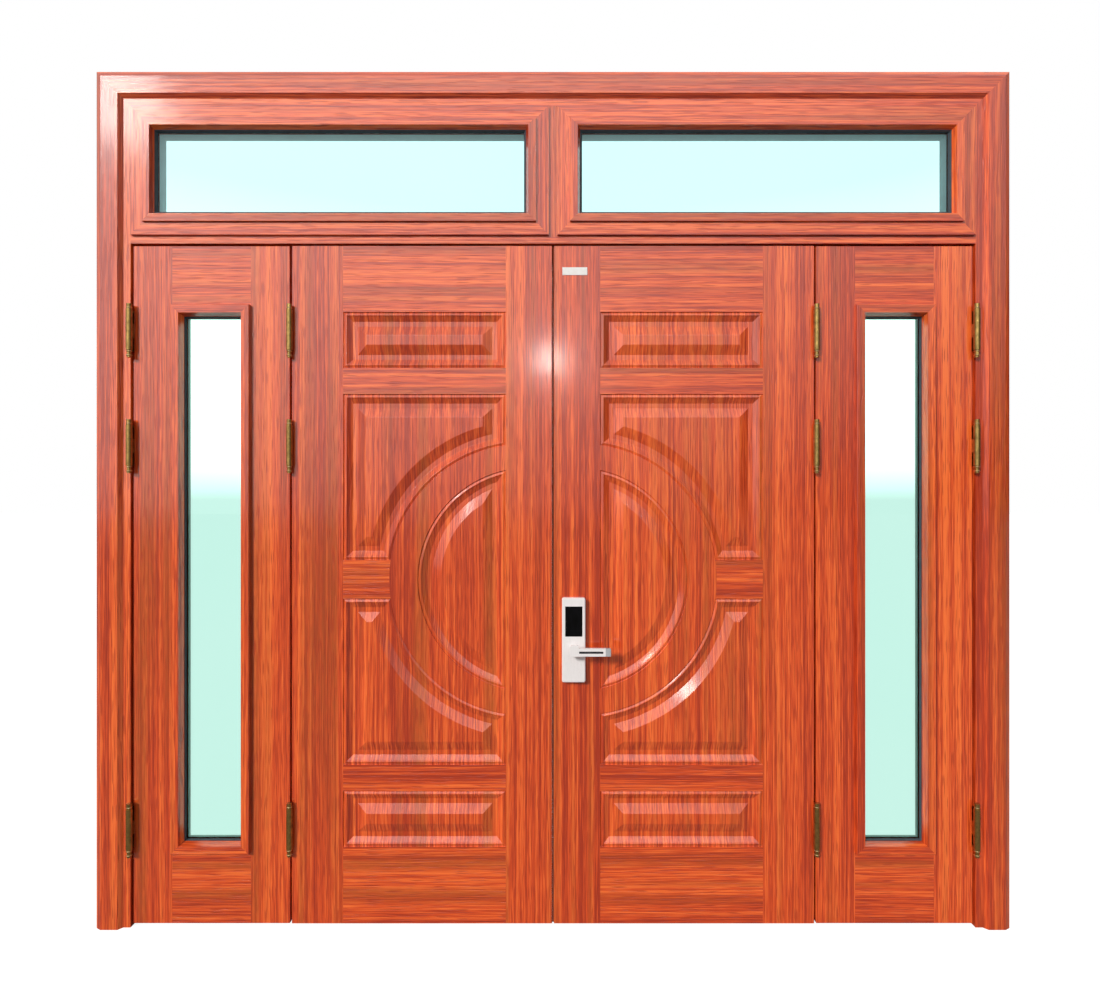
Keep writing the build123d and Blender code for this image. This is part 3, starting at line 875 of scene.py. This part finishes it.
class DOOR_OT_edge_plates(bpy.types.Operator):
    """Let the forend with its bolts and the strike with its openings into the meeting edges"""

    bl_idname = "steel_door.edge_plates"
    bl_label = "Edge Plates"

    def execute(self, context):
        steel = bpy.data.materials["edge_plate_steel"]
        openings = (LATCH_OPENING, BOLT_OPENING)
        for side, name, node in (
            ("right", "slotted_forend", "forend_plate"),
            ("left", "slotted_strike", "strike_plate"),
        ):
            bm = bmesh.new()
            slotted_plate(bm, side, openings)
            piece_from(bm, name, steel, f"main_leaf_{side}", "edge_plate_steel", node)

        scale, tones = (1900.0, 90.0, 1900.0), ((0.60, 0.58, 0.54), (0.78, 0.76, 0.72))
        bright = clouded("bolt_steel", scale, *tones, (0.2, 0.36), Metallic=1.0)
        bm = bmesh.new()
        sprung_bolt(bm, "right", LATCH_OPENING, LATCH_REACH, LATCH_SLOPE)
        sprung_bolt(bm, "right", BOLT_OPENING, BOLT_REACH, BOLT_SLOPE)
        piece_from(bm, "latch_and_bolt", bright, "main_leaf_right", "edge_plate_steel")

        # Dark sheets behind the strike's openings: painted shade of deep hollows, not a real part
        hollow_shade = bpy.data.materials["seal_rubber"]
        bm = bmesh.new()
        for opening in openings:
            depths = [EDGE_PLATE_THICK - short for short in SHADE_SHEET_DEPTHS]
            bar(bm, *(edge_loop(bm, "left", opening, deep) for deep in depths))
        piece_from(bm, "strike_painted_shade", hollow_shade, "main_leaf_left", "seal_rubber")
        return {"FINISHED"}


# Gaskets and liners round the panes

# Piece, the CAD node it is measured from, material, body, slot, and its section as
# (inset, depth) points
PANE_RINGS = (
    (
        ("transom_gasket", "transom_frame", "gasket_rubber", "frame", "seal_rubber"),
        (
            (0.0766, -0.0066),
            (0.0780, -0.0068),
            (0.0806, -0.0030),
            (0.0832, 0.0029),
            (0.0814, 0.0029),
        ),
    ),
    (
        ("transom_liner", "transom_frame", "liner_pale", "frame", "badge_white"),
        ((0.0799, 0.0232), (0.0812, 0.0232), (0.0812, 0.0575), (0.0799, 0.0575)),
    ),
    (
        ("side_gasket", "side_bead_front", "gasket_rubber", "side_leaf", "seal_rubber"),
        ((0.0338, 0.0080), (0.0352, 0.0078), (0.0378, 0.0148), (0.0359, 0.0148)),
    ),
    (
        ("side_liner", "side_bead_front", "liner_pale", "side_leaf", "badge_white"),
        ((0.0359, 0.0352), (0.0372, 0.0352), (0.0276, 0.0630), (0.0262, 0.0630)),
    ),
)


def mitred_ring(bm, low, high, profile):
    """Closed ring round a rectangle, from (inset, depth) points of its section."""
    left, right, foot, top = (low.x, 1), (high.x, -1), (low.z, 1), (high.z, -1)
    sections = []
    for (x, to_x), (z, to_z) in ((left, foot), (right, foot), (right, top), (left, top)):
        places = [(x + to_x * inset, y, z + to_z * inset) for inset, y in profile]
        sections.append(verts(bm, places))
    for one, two in zip(sections, following(sections)):
        band(bm, one, two)


# Bulb seal between side leaf and main leaf: (reach from the side leaf's edge, depth)
SEAM_SEAL = (
    (0.0, 0.0392),
    (0.0010, 0.0392),
    (0.0012, 0.0404),
    (0.0030, 0.0410),
    (0.0046, 0.0424),
    (0.0052, 0.0440),
    (0.0046, 0.0456),
    (0.0030, 0.0470),
    (0.0012, 0.0476),
    (0.0010, 0.0488),
    (0.0, 0.0488),
)

# What the bulb seal stops short of the side leaf's foot and top
SEAM_SEAL_END = 0.0005


class DOOR_OT_gaskets(bpy.types.Operator):
    """Lay the gaskets and liners of the panes and the bulb seals of the hinge seams"""

    bl_idname = "steel_door.gaskets"
    bl_label = "Gaskets and Liners"

    def execute(self, context):
        tones = (0.04, 0.052, 0.064), (0.07, 0.085, 0.10)
        rubber = clouded("gasket_rubber", (60.0, 60.0, 60.0), *tones, (0.5, 0.7), detail=4.0)
        tones = (0.60, 0.61, 0.61), (0.68, 0.69, 0.69)
        clouded("liner_pale", (12.0, 12.0, 12.0), *tones, (0.45, 0.6))
        for side in SIDES:
            for (name, node, finish, body, slot), profile in PANE_RINGS:
                bm = bmesh.new()
                mitred_ring(bm, *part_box(f"{node}_{side}"), profile)
                rides = body if body == "frame" else f"{body}_{side}"
                piece_from(bm, f"{name}_{side}", bpy.data.materials[finish], rides, slot)

            low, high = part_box(f"side_leaf_{side}")
            edge, way = (high.x, 1.0) if side == "left" else (low.x, -1.0)
            bm = bmesh.new()
            ends = []
            for z in (low.z + SEAM_SEAL_END, high.z - SEAM_SEAL_END):
                ends.append(verts(bm, [(edge + way * reach, y, z) for reach, y in SEAM_SEAL]))
            bar(bm, *ends)
            piece_from(bm, f"seam_seal_{side}", rubber, f"side_leaf_{side}", "seal_rubber")
        return {"FINISHED"}


# Brush seal and screws


def grown_piece(name, points, tree, values, body, slot, facings=()):
    """Run a geometry tree on some points and keep the result as a plain mesh piece."""
    start = bpy.data.meshes.new(f"{name}_start")
    start.from_pydata(points, [], [])
    if facings:
        facing = start.attributes.new("facing", "FLOAT_VECTOR", "POINT")
        facing.data.foreach_set("vector", [part for way in facings for part in way])
    holder = linked(f"{name}_start", start)
    modifier = holder.modifiers.new("growth", "NODES")
    modifier.node_group = tree
    for item in tree.interface.items_tree:
        if item.in_out == "INPUT" and item.name in values:
            modifier[item.identifier] = values[item.name]
    bpy.context.view_layer.update()
    evaluated = holder.evaluated_get(bpy.context.evaluated_depsgraph_get())
    mesh = bpy.data.meshes.new_from_object(evaluated)
    mesh.name = name
    bpy.data.objects.remove(holder)
    if not mesh.polygons:
        raise RuntimeError(f"{name} came out empty")
    return keep_piece(name, mesh, body, slot)


def new_growth(name, *inputs):
    """Geometry node tree with named inputs (title, kind, default); returns it and the
    sockets of those inputs."""
    tree = bpy.data.node_groups.new(name, "GeometryNodeTree")
    tree.interface.new_socket("Geometry", in_out="INPUT", socket_type="NodeSocketGeometry")
    for title, kind, default in inputs:
        socket = tree.interface.new_socket(title, in_out="INPUT", socket_type=f"NodeSocket{kind}")
        socket.default_value = default
    tree.interface.new_socket("Geometry", in_out="OUTPUT", socket_type="NodeSocketGeometry")
    return tree, add_node(tree, "NodeGroupInput").outputs


def finish_growth(tree, start, shape, material, **turned):
    """Set a shape on every point of the start mesh, as real geometry in its material."""
    inputs = {"Points": start["Geometry"], "Instance": shape, **turned}
    spots = add_node(tree, "GeometryNodeInstanceOnPoints", inputs)
    real = add_node(tree, "GeometryNodeRealizeInstances", {0: spots.outputs[0]})
    coat = add_node(tree, "GeometryNodeSetMaterial", {0: real.outputs[0], "Material": material})
    add_node(tree, "NodeGroupOutput", {0: coat.outputs[0]})
    return tree


def brush_tree(material):
    """Bristles on every point of a mesh, each leaning a little at random."""
    tree, start = new_growth(
        "brush_bristles",
        ("Bristle Length", "Float", 0.005),
        ("Bristle Radius", "Float", 0.0004),
        ("Lean", "Float", 0.06),
        ("Seed", "Int", 7),
    )
    inputs = {"Vertices": 3, "Depth": start["Bristle Length"]}
    for title in ("Radius Top", "Radius Bottom"):
        inputs[title] = start["Bristle Radius"]
    cone = add_node(tree, "GeometryNodeMeshCone", inputs, fill_type="NONE")
    most = together(tree, *[start["Lean"]] * 3)
    inputs = {0: most, "Scale": -1.0}
    least = add_node(tree, "ShaderNodeVectorMath", inputs, operation="SCALE").outputs[0]
    inputs = {"Min": least, "Max": most, "Seed": start["Seed"]}
    lean = add_node(tree, "FunctionNodeRandomValue", inputs, data_type="FLOAT_VECTOR").outputs[0]
    inputs = {0: lean, 1: (0.0, -math.pi / 2, 0.0)}
    turn = add_node(tree, "ShaderNodeVectorMath", inputs, operation="ADD").outputs[0]
    return finish_growth(tree, start, cone.outputs["Mesh"], material, Rotation=turn)


# Bristles: their length, how far they root in their strip, the rows' depths behind its front,
# and what they stop short of its foot and top
BRISTLE_LENGTH = 0.0058
BRISTLE_ROOT = 0.0004
BRISTLE_ROWS = (0.0012, 0.0024, 0.0036)
BRUSH_END = 0.001


class DOOR_OT_brush(bpy.types.Operator):
    """Fill the seam between the main leaves with a brush seal"""

    bl_idname = "steel_door.brush"
    bl_label = "Brush Seal"

    def execute(self, context):
        settings = context.scene.door_ironwork
        tones = (0.24, 0.05, 0.025), (0.42, 0.10, 0.045)
        hair = clouded("brush_hair", (900.0, 900.0, 300.0), *tones, Roughness=0.8)
        low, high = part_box("meeting_seal")
        points = []
        step = settings.bristle_spacing
        for row, depth in enumerate(BRISTLE_ROWS):
            z = low.z + BRUSH_END + row * step / 3
            while z < high.z - BRUSH_END:
                points.append((low.x + BRISTLE_ROOT, low.y + depth, z))
                z += step
        values = {"Bristle Length": BRISTLE_LENGTH, "Bristle Radius": settings.bristle_radius}
        growth = brush_tree(hair)
        grown_piece("brush_seal", points, growth, values, "main_leaf_right", "seal_rubber")
        return {"FINISHED"}


def screw_tree(material):
    """Countersunk screw heads with a driver socket on every point, facing its own way."""
    tree, start = new_growth(
        "countersunk_screws",
        ("Head Radius", "Float", 0.0034),
        ("Socket Share", "Float", 0.42),
        ("Socket Depth", "Float", 0.0011),
        ("Sides", "Int", 12),
    )
    inputs = {"Vertices": start["Sides"], "Radius": start["Head Radius"]}
    disc = add_node(tree, "GeometryNodeMeshCircle", inputs, fill_type="NGON")

    def raised(geometry, offset, share):
        inputs = {"Mesh": geometry, "Offset Scale": offset}
        push = add_node(tree, "GeometryNodeExtrudeMesh", inputs, mode="FACES").outputs
        inputs = {"Geometry": push["Mesh"], "Selection": push["Top"], "Scale": share}
        return add_node(tree, "GeometryNodeScaleElements", inputs).outputs[0]

    # Arris, rim and driver socket
    shape = raised(disc.outputs[0], 0.00012, 0.94)
    shape = raised(shape, 0.00006, start["Socket Share"])
    shape = raised(shape, maths(tree, "MULTIPLY", start["Socket Depth"], -1.0), 0.8)
    inputs = {"Name": "facing"}
    facing = add_node(tree, "GeometryNodeInputNamedAttribute", inputs, data_type="FLOAT_VECTOR")
    inputs = {"Vector": facing.outputs["Attribute"]}
    align = add_node(tree, "FunctionNodeAlignRotationToVector", inputs)
    return finish_growth(tree, start, shape, material, Rotation=align.outputs[0])


# Heights of the turned beads on a hinge pin, from the hinge's centre
BEAD_HEIGHTS = (0.0722, -0.0650, -0.0785)

# Screw places on a hinge plate: depth into the wall and height from the hinge's centre
PLATE_SCREWS = ((0.011, -0.047), (0.027, -0.017), (0.011, 0.022), (0.027, 0.053))

# Lines of hinge plates on the left: body, place from the centre line, and the way their
# screws face; the right side mirrors them
PLATE_LINES = (
    ("frame", -1.344, 1),
    ("side_leaf", -1.338, -1),
    ("side_leaf", -0.839, 1),
    ("main_leaf", -0.833, -1),
)

# Screws of an edge plate: depth into the wall and heights
EDGE_SCREW_Y = 0.025
EDGE_SCREW_HEIGHTS = (0.811, 1.029)


class DOOR_OT_screws(bpy.types.Operator):
    """Set the countersunk screws of the hinges and edge plates"""

    bl_idname = "steel_door.screws"
    bl_label = "Screws"

    def execute(self, context):
        tones = (0.22, 0.155, 0.065), (0.52, 0.39, 0.19)
        wear = (0.45, 0.28)
        brass = clouded("screw_brass", (700.0, 700.0, 700.0), *tones, wear, Metallic=1.0)
        growth = screw_tree(brass)
        spots = {name: [] for name in frame["bodies"]}
        for side, sign in (("left", 1), ("right", -1)):
            for line, off, way in PLATE_LINES:
                body = line if line == "frame" else f"{line}_{side}"
                x, towards = MIDDLE + sign * off, (sign * way, 0, 0)
                for z in HINGE_HEIGHTS:
                    spots[body] += [((x, y, z + up), towards) for y, up in PLATE_SCREWS]
            towards = tuple(Vector((sign, MEETING_SLOPE, 0)).normalized())
            x = MIDDLE + sign * meeting_edge(EDGE_SCREW_Y)
            places = [((x, EDGE_SCREW_Y, z), towards) for z in EDGE_SCREW_HEIGHTS]
            spots[f"main_leaf_{side}"] += places
        values = {"Head Radius": context.scene.door_ironwork.screw_radius}
        for body, places in spots.items():
            if not places:
                continue
            points, facings = zip(*places)
            name = f"screws_{body}"
            grown_piece(name, points, growth, values, body, "hinge_brass", facings)
        return {"FINISHED"}


# Turned beads of the hinge pins


def bead_tree(material):
    """A turned bead round a pin on every point of a mesh."""
    tree, start = new_growth(
        "turned_beads",
        ("Ring Radius", "Float", 0.0068),
        ("Bead Radius", "Float", 0.0022),
        ("Ring Sides", "Int", 20),
        ("Bead Sides", "Int", 8),
    )
    circles = []
    for title in ("Ring", "Bead"):
        inputs = {"Resolution": start[f"{title} Sides"], "Radius": start[f"{title} Radius"]}
        circles.append(add_node(tree, "GeometryNodeCurvePrimitiveCircle", inputs).outputs["Curve"])
    inputs = {"Curve": circles[0], "Profile Curve": circles[1]}
    sweep = add_node(tree, "GeometryNodeCurveToMesh", inputs)
    return finish_growth(tree, start, sweep.outputs["Mesh"], material)


class DOOR_OT_hinge_beads(bpy.types.Operator):
    """Turn the beads at the cap and foot of each hinge pin"""

    bl_idname = "steel_door.hinge_beads"
    bl_label = "Hinge Beads"

    def execute(self, context):
        settings = context.scene.door_ironwork
        tones = (0.58, 0.40, 0.17), (0.86, 0.66, 0.34)
        wear = (0.36, 0.2)
        rubbed = clouded("rubbed_brass", (300.0, 300.0, 300.0), *tones, wear, Metallic=1.0)
        growth = bead_tree(rubbed)
        places = {"frame": []}
        for side in SIDES:
            places[f"side_leaf_{side}"] = []
            for body, name in (("frame", "jamb"), (f"side_leaf_{side}", "seam")):
                low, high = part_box(f"{name}_hinge_leaf_{side}")
                x, y = (low.x + high.x) / 2, low.y + (high.x - low.x) / 2
                for z in HINGE_HEIGHTS:
                    places[body] += [(x, y, z + up) for up in BEAD_HEIGHTS]
        for body, points in places.items():
            values = {"Ring Radius": settings.bead_ring, "Bead Radius": settings.bead_radius}
            piece = grown_piece(f"hinge_beads_{body}", points, growth, values, body, "hinge_brass")
            for face in piece.data.polygons:
                face.use_smooth = True
        return {"FINISHED"}


# Floor, lights and camera

FLOOR_REACH = 60.0
LAMP_TONE = (1.0, 0.97, 0.93)
KEY_WAY = (-0.76, -1.0, 0.61)

# Lamps that only bring out a sheen, all but unseen elsewhere. Distant ones: name, vector
# towards the lamp, power and apparent size in degrees.
FAR_GLEAMS = (
    ("corner_gleam", (-0.69, -1.0, 0.64), 0.10, 6.5),
    ("middle_gleam", (0.0, -1.0, 0.218), 0.036, 2),
)

# Narrow ones, well clear of the opened leaves: name, place that they light from the centre
# line, vector towards the lamp, power and spread in degrees
NEAR_GLEAMS = (
    ("ring_gleam", (0.420, 0.0, 0.760), (-0.308, -0.917, 0.254), 26.0, 5.0),
    ("disc_gleam", (-0.292, 0.0, 1.418), (-0.574, -0.653, 0.489), 80.0, 2.2),
)
NEAR_GLEAM_DISTANCE = 4.0
NEAR_GLEAM_SHAPE = {"spot_blend": 1.0, "shadow_soft_size": 0.16}

# Camera: lens and film width in mm, and its place beside the centre line in metres
LENS = 21.04
FILM = 36.0
EYE_X = -0.0096


def add_lamp(name, kind, toward, power, hidden_from, **values):
    """Lamp that shines from a direction, given as a vector towards it. It's hidden from
    diffuse or from glossy rays, and never seen through glass."""
    data = bpy.data.lights.new(name, kind)
    data.energy = power
    data.color = LAMP_TONE
    for key, value in values.items():
        setattr(data, key, value)
    lamp = linked(name, data)
    lamp.rotation_mode = "QUATERNION"
    lamp.rotation_quaternion = Vector(toward).to_track_quat("Z", "Y")
    lamp.visible_diffuse = hidden_from != "diffuse"
    lamp.visible_glossy = hidden_from != "glossy"
    lamp.visible_transmission = False
    return lamp


def either(tree, ray, other, shown):
    """Shader that is shown to one kind of ray and another for the rest."""
    return add_node(tree, "ShaderNodeMixShader", {0: ray, 1: other, 2: shown}).outputs[0]


def lay_floor():
    """White floor that shades and reflects little; it glows to the eye and through glass."""
    mesh = bpy.data.meshes.new("floor")
    signs = ((-1, -1), (1, -1), (1, 1), (-1, 1))
    corners = [(MIDDLE + x * FLOOR_REACH, y * FLOOR_REACH, 0) for x, y in signs]
    mesh.from_pydata(corners, [], [(0, 1, 2, 3)])
    linked("floor", mesh)
    made, tree = new_material("floor_white")
    rays = add_node(tree, "ShaderNodeLightPath").outputs
    matt = add_node(tree, "ShaderNodeBsdfDiffuse", {"Color": (0.22, 0.21, 0.20, 1)}).outputs[0]
    white = add_node(tree, "ShaderNodeEmission", {"Strength": 0.92}).outputs[0]
    lit = add_node(tree, "ShaderNodeAddShader", {0: matt, 1: white}).outputs[0]
    beyond = add_node(tree, "ShaderNodeEmission", {"Strength": 0.97}).outputs[0]
    seen = either(tree, rays["Is Camera Ray"], matt, lit)
    seen = either(tree, rays["Is Transmission Ray"], seen, beyond)
    add_node(tree, "ShaderNodeOutputMaterial", {0: seen})
    mesh.materials.append(made)


def light_room(scene, strength):
    """White room: soft light, what the lacquer mirrors and what stands behind the glass."""
    world = bpy.data.worlds.new("studio")
    scene.world = world
    world.use_nodes = True
    tree = world.node_tree
    tree.nodes.clear()

    def glow(power):
        inputs = {"Color": (1, 1, 1, 1), "Strength": power}
        return add_node(tree, "ShaderNodeBackground", inputs).outputs[0]

    rays = add_node(tree, "ShaderNodeLightPath").outputs
    x, y, z = apart(tree, add_node(tree, "ShaderNodeTexCoord").outputs["Generated"])

    # Behind the glass: brightest just over the horizon, dimmer high up
    horizon = spanned(tree, z, 0.0, 0.045, 0.97, 1.75)
    behind = maths(tree, "SUBTRACT", horizon, spanned(tree, z, 0.28, 0.41, 0.0, 0.55))

    # What the lacquer mirrors: brighter above, to the left and straight before the door
    slant = maths(tree, "ADD", maths(tree, "MULTIPLY", z, 2.4), maths(tree, "MULTIPLY", x, -1.0))
    mirror = maths(tree, "MAXIMUM", maths(tree, "ADD", slant, 0.5), 0.03)
    mirror = maths(tree, "MINIMUM", mirror, 2.0)
    mirror = maths(tree, "MULTIPLY", mirror, spanned(tree, y, -0.8, -0.5, 1.0, 0.3))

    seen = either(tree, rays["Is Glossy Ray"], glow(strength), glow(mirror))
    seen = either(tree, rays["Is Camera Ray"], seen, glow(1.0))
    seen = either(tree, rays["Is Transmission Ray"], seen, glow(behind))
    add_node(tree, "ShaderNodeOutputWorld", {0: seen})


def place_lamps(settings):
    """The key lamp and the gleams."""
    add_lamp("key", "SUN", KEY_WAY, settings.key_power, "glossy", angle=settings.key_softness)
    for name, toward, power, size in FAR_GLEAMS:
        add_lamp(name, "SUN", toward, power, "diffuse", angle=math.radians(size))
    for name, place, toward, power, spread in NEAR_GLEAMS:
        lamp = add_lamp(name, "SPOT", toward, power, "diffuse", **NEAR_GLEAM_SHAPE)
        lamp.data.spot_size = math.radians(spread)
        back = NEAR_GLEAM_DISTANCE * Vector(toward).normalized()
        lamp.location = Vector((MIDDLE, 0.0, 0.0)) + Vector(place) + back


class DOOR_OT_stage(bpy.types.Operator):
    """Lay the floor and place the lights and the camera"""

    bl_idname = "steel_door.stage"
    bl_label = "Stage"

    def execute(self, context):
        scene = context.scene
        settings = scene.door_stage
        lay_floor()
        light_room(scene, settings.room_light)
        place_lamps(settings)
        data = bpy.data.cameras.new("camera")
        data.lens = LENS
        data.sensor_width = FILM
        data.clip_start = 0.05
        data.clip_end = 200.0
        camera = linked("camera", data)
        camera.location = (MIDDLE + EYE_X, -settings.eye_distance, settings.eye_height)
        camera.rotation_euler = (math.radians(90), 0, 0)
        scene.camera = camera
        scene.view_settings.view_transform = "Standard"
        return {"FINISHED"}


class DOOR_PT_panel(bpy.types.Panel):
    """Steps that dress the door"""

    bl_label = "Steel Door"
    bl_idname = "DOOR_PT_panel"
    bl_space_type = "VIEW_3D"
    bl_region_type = "UI"
    bl_category = "Steel Door"

    def draw(self, context):
        scene = context.scene
        groups = scene.door_finish, scene.door_pressing, scene.door_ironwork, scene.door_stage
        for group in groups:
            for name in group.__annotations__:
                self.layout.prop(group, name)
        for operator in OPERATORS:
            self.layout.operator(operator.bl_idname)


GROUPS = (FinishSettings, PressingSettings, IronworkSettings, StageSettings)
OPERATORS = (
    DOOR_OT_wood,
    DOOR_OT_glass,
    DOOR_OT_ironwork,
    DOOR_OT_lock,
    DOOR_OT_main_leaves,
    DOOR_OT_edge_plates,
    DOOR_OT_gaskets,
    DOOR_OT_brush,
    DOOR_OT_screws,
    DOOR_OT_hinge_beads,
    DOOR_OT_stage,
)


def register():
    for cls in (*GROUPS, *OPERATORS, DOOR_PT_panel):
        bpy.utils.register_class(cls)
    bpy.types.Scene.door_finish = PointerProperty(type=FinishSettings)
    bpy.types.Scene.door_pressing = PointerProperty(type=PressingSettings)
    bpy.types.Scene.door_ironwork = PointerProperty(type=IronworkSettings)
    bpy.types.Scene.door_stage = PointerProperty(type=StageSettings)


def unregister():
    del bpy.types.Scene.door_finish
    del bpy.types.Scene.door_pressing
    del bpy.types.Scene.door_ironwork
    del bpy.types.Scene.door_stage
    for cls in reversed((*GROUPS, *OPERATORS, DOOR_PT_panel)):
        bpy.utils.unregister_class(cls)


def main():
    register()
    bpy.ops.steel_door.wood()
    bpy.ops.steel_door.glass()
    bpy.ops.steel_door.ironwork()
    bpy.ops.steel_door.lock()
    bpy.ops.steel_door.main_leaves()
    bpy.ops.steel_door.edge_plates()
    bpy.ops.steel_door.gaskets()
    bpy.ops.steel_door.brush()
    bpy.ops.steel_door.screws()
    bpy.ops.steel_door.hinge_beads()
    bpy.ops.steel_door.stage()


if __name__ == "__main__":
    main()
